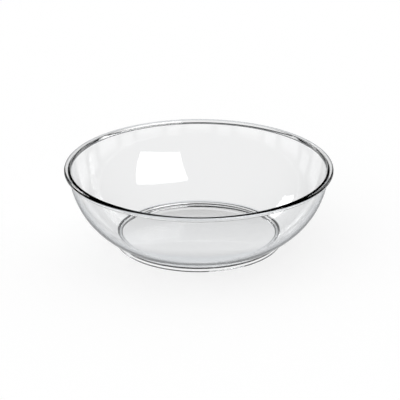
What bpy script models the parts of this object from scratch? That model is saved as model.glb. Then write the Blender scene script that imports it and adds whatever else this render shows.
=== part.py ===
"""A pressed clear-glass dish: one turned body with a flat rounded lip, a curved wall,
a flat floor and a low foot ring around a shallow recess.

Units are metres, +Z is up. The origin is the centre of the plane that the foot rests on.
"""

import math

import bpy

# Driving dimensions
RIM_DIAMETER = 0.200
HEIGHT = 0.0585
LIP_WIDTH = 0.0050
LIP_THICKNESS = 0.0030
LIP_INNER_ROUND = 0.0012
LIP_OUTER_ROUND = 0.0015
LIP_FILLET = 0.0005
WALL_TOP_DIAMETER = 0.1938
WALL_TOP_THICKNESS = 0.0018
FLOOR_THICKNESS = 0.0030
FLOOR_DIAMETER = 0.1184
FLOOR_CORNER = 0.0008
FOOT_DIAMETER = 0.1248
FOOT_HEIGHT = 0.0039
FOOT_RING_WIDTH = 0.0036
RECESS_DEPTH = 0.0020
FOOT_EDGE_RADIUS = 0.0008

# Slopes of the wall: its lean from the vertical under the lip, and its rise from the
# horizontal where it meets the foot outside and the floor inside
WALL_LEAN = math.radians(8.0)
OUTER_FOOT_SLOPE = math.radians(32.0)
INNER_FLOOR_SLOPE = math.radians(30.0)

# How strongly the wall holds its end slopes, as a share of its height and of its width
TOP_FULLNESS = 0.57
BASE_FULLNESS = 0.52

# Facets
TURN_STEPS = 72
WALL_STEPS = 9
LIP_STEPS = 3
EDGE_STEPS = 2
SHARP_ANGLE = math.radians(50.0)
MERGE_DISTANCE = 0.00001

GLASS_COLOUR = (0.93, 0.95, 0.96, 1.0)
GLASS_ROUGHNESS = 0.02
GLASS_IOR = 1.47


def arc(centre, half_width, half_height, start, end, steps):
    """Points of an elliptical arc in the section's plane, between two angles in degrees."""
    points = []
    for i in range(steps + 1):
        angle = math.radians(start + (end - start) * i / steps)
        across, up = half_width * math.cos(angle), half_height * math.sin(angle)
        points.append((centre[0] + across, centre[1] + up))
    return points


def wall_curve(top, base, base_slope, steps):
    """A cubic from the top of a wall down to its base, which leaves the top with the
    wall's lean and arrives at the base with the given slope."""
    height = top[1] - base[1]
    width = top[0] - base[0]
    handle_top = (
        top[0] - TOP_FULLNESS * height * math.sin(WALL_LEAN),
        top[1] - TOP_FULLNESS * height * math.cos(WALL_LEAN),
    )
    handle_base = (
        base[0] + BASE_FULLNESS * width * math.cos(base_slope),
        base[1] + BASE_FULLNESS * width * math.sin(base_slope),
    )
    points = []
    for i in range(steps + 1):
        t = i / steps
        weights = ((1 - t) ** 3, 3 * t * (1 - t) ** 2, 3 * t * t * (1 - t), t ** 3)
        corners = (top, handle_top, handle_base, base)
        points.append(tuple(sum(w * c[axis] for w, c in zip(weights, corners)) for axis in (0, 1)))
    return points


def rounded_corner(before, corner, after, reach, steps):
    """Replaces a corner of the section by a quadratic blend that starts and ends reach away."""
    ends = []
    for other in (before, after):
        length = math.dist(corner, other)
        ends.append([corner[k] + (other[k] - corner[k]) * reach / length for k in (0, 1)])
    points = []
    for i in range(steps + 1):
        t = i / steps
        weights = ((1 - t) ** 2, 2 * t * (1 - t), t * t)
        corners = (ends[0], corner, ends[1])
        points.append(tuple(sum(w * c[k] for w, c in zip(weights, corners)) for k in (0, 1)))
    return points


def lip_section(wall_top):
    """The lip's outline from the inside of the wall, over the top, to the outside of the wall."""
    outer_radius = RIM_DIAMETER / 2
    half = LIP_THICKNESS / 2
    middle = HEIGHT - half
    inner = (outer_radius - LIP_WIDTH + LIP_INNER_ROUND, middle)
    outer = (outer_radius - LIP_OUTER_ROUND, middle)
    hollow = (wall_top[0] + LIP_FILLET, wall_top[1])
    points = arc(inner, LIP_INNER_ROUND, half, 200.0, 90.0, LIP_STEPS)
    points += arc(outer, LIP_OUTER_ROUND, half, 90.0, -90.0, 2 * LIP_STEPS)
    points += arc(hollow, LIP_FILLET, LIP_FILLET, 90.0, 180.0, EDGE_STEPS)
    return points[:-1]


def bowl_profile():
    """The section's outline as (radius, height) points: from the middle of the floor out and
    up the inside, over the lip, down the outside, and in under the foot."""
    wall_top = (WALL_TOP_DIAMETER / 2, HEIGHT - LIP_THICKNESS - LIP_FILLET)
    wall_top_inside = (wall_top[0] - WALL_TOP_THICKNESS, HEIGHT - LIP_THICKNESS)
    foot_radius = FOOT_DIAMETER / 2
    floor_height = RECESS_DEPTH + FLOOR_THICKNESS
    floor_middle = (0.0, floor_height)
    floor_corner = (FLOOR_DIAMETER / 2, floor_height)
    ring_inside = foot_radius - FOOT_RING_WIDTH
    edge = FOOT_EDGE_RADIUS

    inside = wall_curve(wall_top_inside, floor_corner, INNER_FLOOR_SLOPE, WALL_STEPS)
    outside = wall_curve(wall_top, (foot_radius, FOOT_HEIGHT), OUTER_FOOT_SLOPE, WALL_STEPS)
    foot = arc((foot_radius - edge, edge), edge, edge, 0.0, -90.0, EDGE_STEPS)
    foot += arc((ring_inside + edge, edge), edge, edge, -90.0, -180.0, EDGE_STEPS)
    recess = arc((ring_inside - edge, RECESS_DEPTH - edge), edge, edge, 0.0, 90.0, EDGE_STEPS)

    points = [floor_middle]
    points += rounded_corner(floor_middle, floor_corner, inside[-2], FLOOR_CORNER, EDGE_STEPS)
    points += reversed(inside[:-1])
    points += lip_section(wall_top)
    points += outside
    points += foot + recess
    points.append((0.0, RECESS_DEPTH))
    return points


def glass_material():
    material = bpy.data.materials.new("clear_glass")
    material.use_nodes = True
    shader = material.node_tree.nodes["Principled BSDF"]
    shader.inputs["Base Color"].default_value = GLASS_COLOUR
    shader.inputs["Roughness"].default_value = GLASS_ROUGHNESS
    shader.inputs["Metallic"].default_value = 0.0
    shader.inputs["IOR"].default_value = GLASS_IOR
    shader.inputs["Transmission Weight"].default_value = 1.0
    return material


def turned_object(name, profile, material, collection):
    """Turns a closed section, given as (radius, height) points, about +Z."""
    mesh = bpy.data.meshes.new(name)
    vertices = [(radius, 0.0, height) for radius, height in profile]
    edges = [(i, i + 1) for i in range(len(vertices) - 1)]
    mesh.from_pydata(vertices, edges, [])
    mesh.materials.append(material)
    turned = bpy.data.objects.new(name, mesh)
    collection.objects.link(turned)

    screw = turned.modifiers.new("turn", "SCREW")
    screw.axis = "Z"
    screw.angle = math.tau
    screw.steps = TURN_STEPS
    screw.render_steps = TURN_STEPS
    screw.use_merge_vertices = True
    screw.merge_threshold = MERGE_DISTANCE
    screw.use_smooth_shade = True
    return turned


def freeze_and_shade(turned):
    """Makes the turned surface real, and shades it smooth except along the sharp edges."""
    graph = bpy.context.evaluated_depsgraph_get()
    mesh = bpy.data.meshes.new_from_object(turned.evaluated_get(graph))
    turned.modifiers.clear()
    turned.data = mesh
    mesh.name = turned.name
    mesh.shade_smooth()
    mesh.set_sharp_from_angle(angle=SHARP_ANGLE)


def build():
    for old in list(bpy.data.objects):
        bpy.data.objects.remove(old, do_unlink=True)
    collection = bpy.data.collections.new("glass_dish")
    bpy.context.scene.collection.children.link(collection)
    bowl = turned_object("glass_bowl", bowl_profile(), glass_material(), collection)
    freeze_and_shade(bowl)


build()
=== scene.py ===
"""Looks of the glass dish: one piece of clear pressed glass on a pale studio table."""

import math

import bpy
from mathutils import Matrix, Vector

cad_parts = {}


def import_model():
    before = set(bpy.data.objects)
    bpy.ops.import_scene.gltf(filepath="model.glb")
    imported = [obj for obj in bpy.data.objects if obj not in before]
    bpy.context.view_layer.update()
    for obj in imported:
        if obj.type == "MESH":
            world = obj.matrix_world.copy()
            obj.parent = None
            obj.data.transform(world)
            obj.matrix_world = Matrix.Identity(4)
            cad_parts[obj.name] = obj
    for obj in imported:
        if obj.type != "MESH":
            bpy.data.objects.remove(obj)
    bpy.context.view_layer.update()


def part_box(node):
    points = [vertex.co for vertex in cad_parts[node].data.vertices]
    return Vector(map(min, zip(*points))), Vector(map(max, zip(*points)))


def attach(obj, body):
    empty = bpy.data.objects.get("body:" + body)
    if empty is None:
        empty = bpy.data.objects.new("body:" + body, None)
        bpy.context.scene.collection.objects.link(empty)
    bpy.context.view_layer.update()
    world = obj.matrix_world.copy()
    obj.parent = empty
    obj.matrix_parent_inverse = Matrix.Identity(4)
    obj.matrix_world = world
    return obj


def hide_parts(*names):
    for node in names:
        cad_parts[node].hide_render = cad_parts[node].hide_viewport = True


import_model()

_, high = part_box("glass_bowl")

# The dish, in metres. The rim's radius and the height come from the frame.
RIM_RADIUS = min(high.x, high.y)
RIM_HEIGHT = high.z
LIP_WIDTH = 0.0050
LIP_THICKNESS = 0.0030
LIP_INNER_ROUND = 0.0012
LIP_OUTER_ROUND = 0.0015
LIP_FILLET = 0.0005
WALL_TOP_RADIUS = 0.0969
WALL_TOP_THICKNESS = 0.0018
FLOOR_THICKNESS = 0.0030
FLOOR_RADIUS = 0.0592
FLOOR_CORNER = 0.0008
FOOT_RADIUS = 0.0624
FOOT_HEIGHT = 0.0039
FOOT_RING_WIDTH = 0.0036
FOOT_EDGE_RADIUS = 0.0008
FOOT_BLEND = 0.0006
RECESS_DEPTH = 0.0020

# Slopes of the wall: its lean from the vertical under the lip, and its rise from the
# horizontal where it meets the foot outside and the floor inside
WALL_LEAN = math.radians(8.0)
OUTER_FOOT_SLOPE = math.radians(32.0)
INNER_FLOOR_SLOPE = math.radians(30.0)

# How strongly the wall holds its end slopes, as a share of its height and of its width
TOP_FULLNESS = 0.57
BASE_FULLNESS = 0.52

# Facets
TURN_STEPS = 256
WALL_STEPS = 48
LIP_INNER_STEPS = 14
LIP_OUTER_STEPS = 32
EDGE_STEPS = 8
BLEND_STEPS = 6
SHARP_ANGLE = math.radians(35.0)
MERGE_DISTANCE = 0.00001

# Glass. Each noise is (scale per metre, detail), and each range is the stretch of the
# noise's values that is spread over the whole effect.
GLASS_IOR = 1.49
GLASS_TINTS = ((0.985, 0.99, 0.995, 1.0), (0.995, 0.998, 1.0, 1.0))
TINT_NOISE = (18.0, 2.0)
TINT_RANGE = (0.3, 0.7)
POLISH_ROUGHNESS = 0.012
POLISH_NOISE = (60.0, 3.0)
POLISH_RANGE = (0.45, 0.75)
FOOT_ROUGHNESS = 0.16
WEAR_HEIGHT = 0.0004
SCUFF_NOISE = (900.0, 4.0)
SCUFF_RANGE = (0.35, 0.65)
SCUFF_LEAST = 0.3
RIPPLE_HEIGHT = 0.00002
RIPPLE_NOISE = (45.0, 1.0)

# Light paths. Few glossy bounces keep the lines inside the lip dark.
BOUNCES = 20
GLOSSY_BOUNCES = 4

# Table
TABLE_RADIUS = 12.0
TABLE_SIDES = 96
TABLE_ALBEDO = 0.25
TABLE_GLOW = 0.70
TABLE_GLOW_SEEN = 0.80

# World. Panels stand evenly around the dish, with a strip halfway between each two. An edge
# is where the light is full and where it is gone, in degrees from the middle. Stops are
# (z of the direction, level).
SKY_LIGHT = 1.0
ROOM_LEVEL = 0.94
PANELS = 8
PANEL_EDGE = (7.0, 15.0)
PANEL_STOPS = ((-1.0, 0.1), (-0.65, 0.1), (-0.5, 1.0), (-0.06, 1.0), (0.08, 0.0))
STRIP_EDGE = (3.0, 8.0)
STRIP_STOPS = ((-1.0, 0.0), (-0.2, 0.0), (-0.14, 0.8), (0.05, 0.8), (0.12, 0.0), (1.0, 0.0))
ROOM_STOPS = ((-1.0, 0.92), (-0.8, 0.9), (-0.5, 0.78), (-0.35, 0.73), (-0.12, 0.0), (0.2, 0.0))
ROOM_TINT = (0.96, 0.98, 1.0)

# Softboxes: name, centre, width, height and roll
SOFTBOXES = (
    ("key_softbox", (0.62, -0.50, 0.85), 0.86, 0.95, math.radians(27.0)),
    ("side_softbox", (-0.64, 0.82, 0.675), 0.54, 0.24, math.radians(17.0)),
)
SOFTBOX_STRENGTH = 4.0

# Camera. The shifts move its aim off the dish's middle, to frame the dish as in the photo.
CAMERA_ELEVATION = math.radians(22.7)
CAMERA_DISTANCE = 1.700
CAMERA_LENS = 204.8
CAMERA_SENSOR = 36.0
CAMERA_SHIFT_X = 0.0009
CAMERA_SHIFT_Z = 0.0019


def arc(centre, half_width, half_height, start, end, steps):
    """Points of an elliptical arc in the section's plane, between two angles in degrees."""
    points = []
    for i in range(steps + 1):
        angle = math.radians(start + (end - start) * i / steps)
        across, up = half_width * math.cos(angle), half_height * math.sin(angle)
        points.append((centre[0] + across, centre[1] + up))
    return points


def wall_curve(top, base, base_slope, steps):
    """A cubic from the top of a wall down to its base, which leaves the top with the
    wall's lean and arrives at the base with the given slope."""
    height = top[1] - base[1]
    width = top[0] - base[0]
    handle_top = (
        top[0] - TOP_FULLNESS * height * math.sin(WALL_LEAN),
        top[1] - TOP_FULLNESS * height * math.cos(WALL_LEAN),
    )
    handle_base = (
        base[0] + BASE_FULLNESS * width * math.cos(base_slope),
        base[1] + BASE_FULLNESS * width * math.sin(base_slope),
    )
    points = []
    for i in range(steps + 1):
        t = i / steps
        weights = ((1 - t) ** 3, 3 * t * (1 - t) ** 2, 3 * t * t * (1 - t), t ** 3)
        corners = (top, handle_top, handle_base, base)
        points.append(tuple(sum(w * c[axis] for w, c in zip(weights, corners)) for axis in (0, 1)))
    return points


def rounded_corner(before, corner, after, reach, steps):
    """Replaces a corner of the section by a quadratic blend that starts and ends reach away."""
    b, c, a = Vector(before), Vector(corner), Vector(after)
    start = c + (b - c).normalized() * reach
    end = c + (a - c).normalized() * reach
    points = []
    for i in range(steps + 1):
        t = i / steps
        p = start * (1 - t) ** 2 + c * 2 * t * (1 - t) + end * t * t
        points.append((p.x, p.y))
    return points


def bowl_profile():
    """The section's outline as (radius, height) points: from the middle of the floor out and
    up the inside, over the lip, down the outside, and in under the foot."""
    lip_bottom = RIM_HEIGHT - LIP_THICKNESS
    wall_inside = (WALL_TOP_RADIUS - WALL_TOP_THICKNESS, lip_bottom)
    wall_top = (WALL_TOP_RADIUS, lip_bottom - LIP_FILLET)
    half = LIP_THICKNESS / 2
    inner = (RIM_RADIUS - LIP_WIDTH + LIP_INNER_ROUND, RIM_HEIGHT - half)
    outer = (RIM_RADIUS - LIP_OUTER_ROUND, RIM_HEIGHT - half)
    hollow = (wall_top[0] + LIP_FILLET, wall_top[1])
    lip = arc(inner, LIP_INNER_ROUND, half, 200.0, 90.0, LIP_INNER_STEPS)
    lip += arc(outer, LIP_OUTER_ROUND, half, 90.0, -90.0, LIP_OUTER_STEPS)
    lip += arc(hollow, LIP_FILLET, LIP_FILLET, 90.0, 180.0, EDGE_STEPS)[:-1]

    floor_height = RECESS_DEPTH + FLOOR_THICKNESS
    floor_corner = (FLOOR_RADIUS, floor_height)
    foot_top = (FOOT_RADIUS, FOOT_HEIGHT)
    inside = wall_curve(wall_inside, floor_corner, INNER_FLOOR_SLOPE, WALL_STEPS)
    outside = wall_curve(wall_top, foot_top, OUTER_FOOT_SLOPE, WALL_STEPS)

    ring_inside = FOOT_RADIUS - FOOT_RING_WIDTH
    edge = FOOT_EDGE_RADIUS
    foot = arc((FOOT_RADIUS - edge, edge), edge, edge, 0.0, -90.0, EDGE_STEPS)
    foot += arc((ring_inside + edge, edge), edge, edge, -90.0, -180.0, EDGE_STEPS)
    recess = arc((ring_inside - edge, RECESS_DEPTH - edge), edge, edge, 0.0, 90.0, EDGE_STEPS)

    points = [(0.0, floor_height)]
    points += rounded_corner(points[0], inside[-1], inside[-2], FLOOR_CORNER, EDGE_STEPS)
    points += list(reversed(inside))[1:]
    points += lip
    points += outside[:-1]
    points += rounded_corner(outside[-2], outside[-1], (FOOT_RADIUS, 0.0), FOOT_BLEND, BLEND_STEPS)
    points += foot + recess
    points.append((0.0, RECESS_DEPTH))
    return points


def turned_piece(name, profile, material):
    """Turns a closed section, given as (radius, height) points, about +Z."""
    mesh = bpy.data.meshes.new(name)
    vertices = [(radius, 0.0, height) for radius, height in profile]
    mesh.from_pydata(vertices, [(i, i + 1) for i in range(len(profile) - 1)], [])
    mesh.materials.append(material)
    piece = bpy.data.objects.new(name, mesh)
    bpy.context.scene.collection.objects.link(piece)
    screw = piece.modifiers.new("turn", "SCREW")
    screw.axis = "Z"
    screw.angle = math.tau
    screw.steps = TURN_STEPS
    screw.render_steps = TURN_STEPS
    screw.use_merge_vertices = True
    screw.merge_threshold = MERGE_DISTANCE
    graph = bpy.context.evaluated_depsgraph_get()
    turned = bpy.data.meshes.new_from_object(piece.evaluated_get(graph))
    piece.modifiers.clear()
    piece.data = turned
    turned.shade_smooth()
    turned.set_sharp_from_angle(angle=SHARP_ANGLE)
    return piece


def node_adder(tree):
    """A function that adds a shader node to the tree and sets its properties."""

    def node(kind, **settings):
        made = tree.nodes.new("ShaderNode" + kind)
        for name, value in settings.items():
            setattr(made, name, value)
        return made

    return node


def glass():
    """Clear pressed glass: a faint cool cast that drifts a little, a slow ripple left by the
    mould, a polish that varies by a hair, and a foot worn dull where it touches the bench."""
    material = bpy.data.materials.new("clear_glass")
    material.use_nodes = True
    tree = material.node_tree
    node = node_adder(tree)
    shader = tree.nodes["Principled BSDF"]
    shader.inputs["IOR"].default_value = GLASS_IOR
    shader.inputs["Transmission Weight"].default_value = 1.0
    place = node("TexCoord").outputs["Object"]

    def noise(settings):
        made = node("TexNoise")
        made.inputs["Scale"].default_value, made.inputs["Detail"].default_value = settings
        tree.links.new(place, made.inputs["Vector"])
        return made.outputs["Fac"]

    def spread(source, range_in, range_out):
        made = node("MapRange")
        made.inputs["From Min"].default_value, made.inputs["From Max"].default_value = range_in
        made.inputs["To Min"].default_value, made.inputs["To Max"].default_value = range_out
        tree.links.new(source, made.inputs["Value"])
        return made.outputs["Result"]

    cast = node("ValToRGB")
    for element, position, tint in zip(cast.color_ramp.elements, TINT_RANGE, GLASS_TINTS):
        element.position = position
        element.color = tint
    tree.links.new(noise(TINT_NOISE), cast.inputs["Fac"])
    tree.links.new(cast.outputs["Color"], shader.inputs["Base Color"])

    height = node("SeparateXYZ")
    tree.links.new(place, height.inputs["Vector"])
    worn = spread(height.outputs["Z"], (WEAR_HEIGHT, 0.0), (0.0, FOOT_ROUGHNESS))
    scuffs = node("Math", operation="MULTIPLY")
    tree.links.new(worn, scuffs.inputs[0])
    tree.links.new(spread(noise(SCUFF_NOISE), SCUFF_RANGE, (SCUFF_LEAST, 1.0)), scuffs.inputs[1])
    polish = spread(noise(POLISH_NOISE), POLISH_RANGE, (0.0, POLISH_ROUGHNESS))
    roughness = node("Math", operation="ADD")
    tree.links.new(polish, roughness.inputs[0])
    tree.links.new(scuffs.outputs[0], roughness.inputs[1])
    tree.links.new(roughness.outputs[0], shader.inputs["Roughness"])

    ripple = node("Bump")
    ripple.inputs["Strength"].default_value = 1.0
    ripple.inputs["Distance"].default_value = RIPPLE_HEIGHT
    tree.links.new(noise(RIPPLE_NOISE), ripple.inputs["Height"])
    tree.links.new(ripple.outputs["Normal"], shader.inputs["Normal"])
    return material


def floor():
    """A pale table that glows by itself. The glass doesn't see it, only the world."""
    bpy.ops.mesh.primitive_circle_add(
        vertices=TABLE_SIDES, radius=TABLE_RADIUS, fill_type="NGON", location=(0, 0, 0)
    )
    table = bpy.context.object
    table.name = "studio_floor"
    material = bpy.data.materials.new("pale_floor")
    material.use_nodes = True
    tree = material.node_tree
    tree.nodes.clear()
    node = node_adder(tree)
    level = node("MapRange")
    level.inputs["To Min"].default_value = TABLE_GLOW
    level.inputs["To Max"].default_value = TABLE_GLOW_SEEN
    tree.links.new(node("LightPath").outputs["Is Camera Ray"], level.inputs["Value"])
    paper = node("BsdfPrincipled")
    paper.inputs["Base Color"].default_value = (TABLE_ALBEDO, TABLE_ALBEDO, TABLE_ALBEDO, 1.0)
    paper.inputs["Roughness"].default_value = 1.0
    paper.inputs["Specular IOR Level"].default_value = 0.0
    paper.inputs["Emission Color"].default_value = (1, 1, 1, 1)
    tree.links.new(level.outputs["Result"], paper.inputs["Emission Strength"])
    tree.links.new(paper.outputs["BSDF"], node("OutputMaterial").inputs["Surface"])
    table.data.materials.append(material)
    table.visible_transmission = False
    table.visible_glossy = False


def world():
    """White for the camera and the table. Rays through or off the glass see bright panels, with
    strips between them, in a room that is bright below and dark above the horizon."""
    sky = bpy.data.worlds.new("studio")
    bpy.context.scene.world = sky
    sky.use_nodes = True
    tree = sky.node_tree
    tree.nodes.clear()
    node = node_adder(tree)

    direction = node("SeparateXYZ")
    tree.links.new(node("TexCoord").outputs["Generated"], direction.inputs["Vector"])
    azimuth = node("Math", operation="ARCTAN2")
    tree.links.new(direction.outputs["Y"], azimuth.inputs[0])
    tree.links.new(direction.outputs["X"], azimuth.inputs[1])
    turns = node("Math", operation="MULTIPLY")
    turns.inputs[1].default_value = PANELS
    tree.links.new(azimuth.outputs[0], turns.inputs[0])
    wave = node("Math", operation="COSINE")
    tree.links.new(turns.outputs[0], wave.inputs[0])
    height = node("Math", operation="MULTIPLY_ADD")
    height.inputs[1].default_value = 0.5
    height.inputs[2].default_value = 0.5
    tree.links.new(direction.outputs["Z"], height.inputs[0])

    def around(unlit, lit):
        """A fade with the azimuth, in degrees from a panel's middle: 0 at unlit, 1 at lit."""
        made = node("MapRange", interpolation_type="SMOOTHSTEP")
        made.inputs["From Min"].default_value = math.cos(math.radians(PANELS * unlit))
        made.inputs["From Max"].default_value = math.cos(math.radians(PANELS * lit))
        tree.links.new(wave.outputs[0], made.inputs["Value"])
        return made.outputs["Result"]

    def by_height(stops, tint=(1.0, 1.0, 1.0)):
        ramp = node("ValToRGB")
        tree.links.new(height.outputs[0], ramp.inputs["Fac"])
        elements = ramp.color_ramp.elements
        while len(elements) < len(stops):
            elements.new(0.5)
        for element, (z, level) in zip(elements, stops):
            element.position = (z + 1) / 2
            element.color = (level * tint[0], level * tint[1], level * tint[2], 1.0)
        return ramp.outputs["Color"]

    halfway = 180.0 / PANELS
    strips = node("VectorMath", operation="MULTIPLY_ADD")
    tree.links.new(around(halfway - STRIP_EDGE[1], halfway - STRIP_EDGE[0]), strips.inputs[0])
    tree.links.new(by_height(STRIP_STOPS), strips.inputs[1])
    tree.links.new(by_height(ROOM_STOPS, ROOM_TINT), strips.inputs[2])
    panels = node("VectorMath", operation="MULTIPLY")
    tree.links.new(around(PANEL_EDGE[1], PANEL_EDGE[0]), panels.inputs[0])
    tree.links.new(by_height(PANEL_STOPS), panels.inputs[1])
    lit = node("VectorMath", operation="MAXIMUM")
    tree.links.new(panels.outputs[0], lit.inputs[0])
    tree.links.new(strips.outputs[0], lit.inputs[1])

    room = node("Background")
    room.inputs["Strength"].default_value = ROOM_LEVEL
    tree.links.new(lit.outputs[0], room.inputs["Color"])
    white = node("Background")
    white.inputs["Strength"].default_value = SKY_LIGHT
    path = node("LightPath")
    either = node("Math", operation="MAXIMUM")
    tree.links.new(path.outputs["Is Camera Ray"], either.inputs[0])
    tree.links.new(path.outputs["Is Diffuse Ray"], either.inputs[1])
    mix = node("MixShader")
    tree.links.new(either.outputs[0], mix.inputs["Fac"])
    tree.links.new(room.outputs[0], mix.inputs[1])
    tree.links.new(white.outputs[0], mix.inputs[2])
    tree.links.new(mix.outputs[0], node("OutputWorld").inputs["Surface"])


def softbox(name, centre, width, height, roll):
    """A glowing card that faces the dish. Only the glass sees it."""
    mesh = bpy.data.meshes.new(name)
    x, y = width / 2, height / 2
    mesh.from_pydata([(-x, -y, 0), (x, -y, 0), (x, y, 0), (-x, y, 0)], [], [(0, 1, 2, 3)])
    box = bpy.data.objects.new(name, mesh)
    bpy.context.scene.collection.objects.link(box)
    box.location = centre
    facing = (-Vector(centre)).to_track_quat("Z", "Y").to_matrix().to_4x4()
    box.rotation_euler = (facing @ Matrix.Rotation(roll, 4, "Z")).to_euler()
    material = bpy.data.materials.new(name + "_light")
    material.use_nodes = True
    tree = material.node_tree
    tree.nodes.clear()
    node = node_adder(tree)
    glow = node("Emission")
    glow.inputs["Strength"].default_value = SOFTBOX_STRENGTH
    tree.links.new(glow.outputs["Emission"], node("OutputMaterial").inputs["Surface"])
    mesh.materials.append(material)
    box.visible_camera = False
    box.visible_diffuse = False
    box.visible_shadow = False


def camera():
    """The photo's view: straight at the dish from the front, a little above it."""
    target = Vector((CAMERA_SHIFT_X, 0.0, RIM_HEIGHT / 2 + CAMERA_SHIFT_Z))
    away = Vector((0.0, -math.cos(CAMERA_ELEVATION), math.sin(CAMERA_ELEVATION)))
    data = bpy.data.cameras.new("camera")
    data.sensor_width = CAMERA_SENSOR
    data.lens = CAMERA_LENS
    eye = bpy.data.objects.new("camera", data)
    bpy.context.scene.collection.objects.link(eye)
    eye.location = target + away * CAMERA_DISTANCE
    eye.rotation_euler = (-away).to_track_quat("-Z", "Y").to_euler()
    bpy.context.scene.camera = eye


bowl = turned_piece("bowl_glass", bowl_profile(), glass())
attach(bowl, "root")
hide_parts("glass_bowl")

floor()
world()
for settings in SOFTBOXES:
    softbox(*settings)
camera()

bpy.context.scene.view_settings.view_transform = "Standard"
bpy.context.scene.cycles.max_bounces = BOUNCES
bpy.context.scene.cycles.transmission_bounces = BOUNCES
bpy.context.scene.cycles.glossy_bounces = GLOSSY_BOUNCES
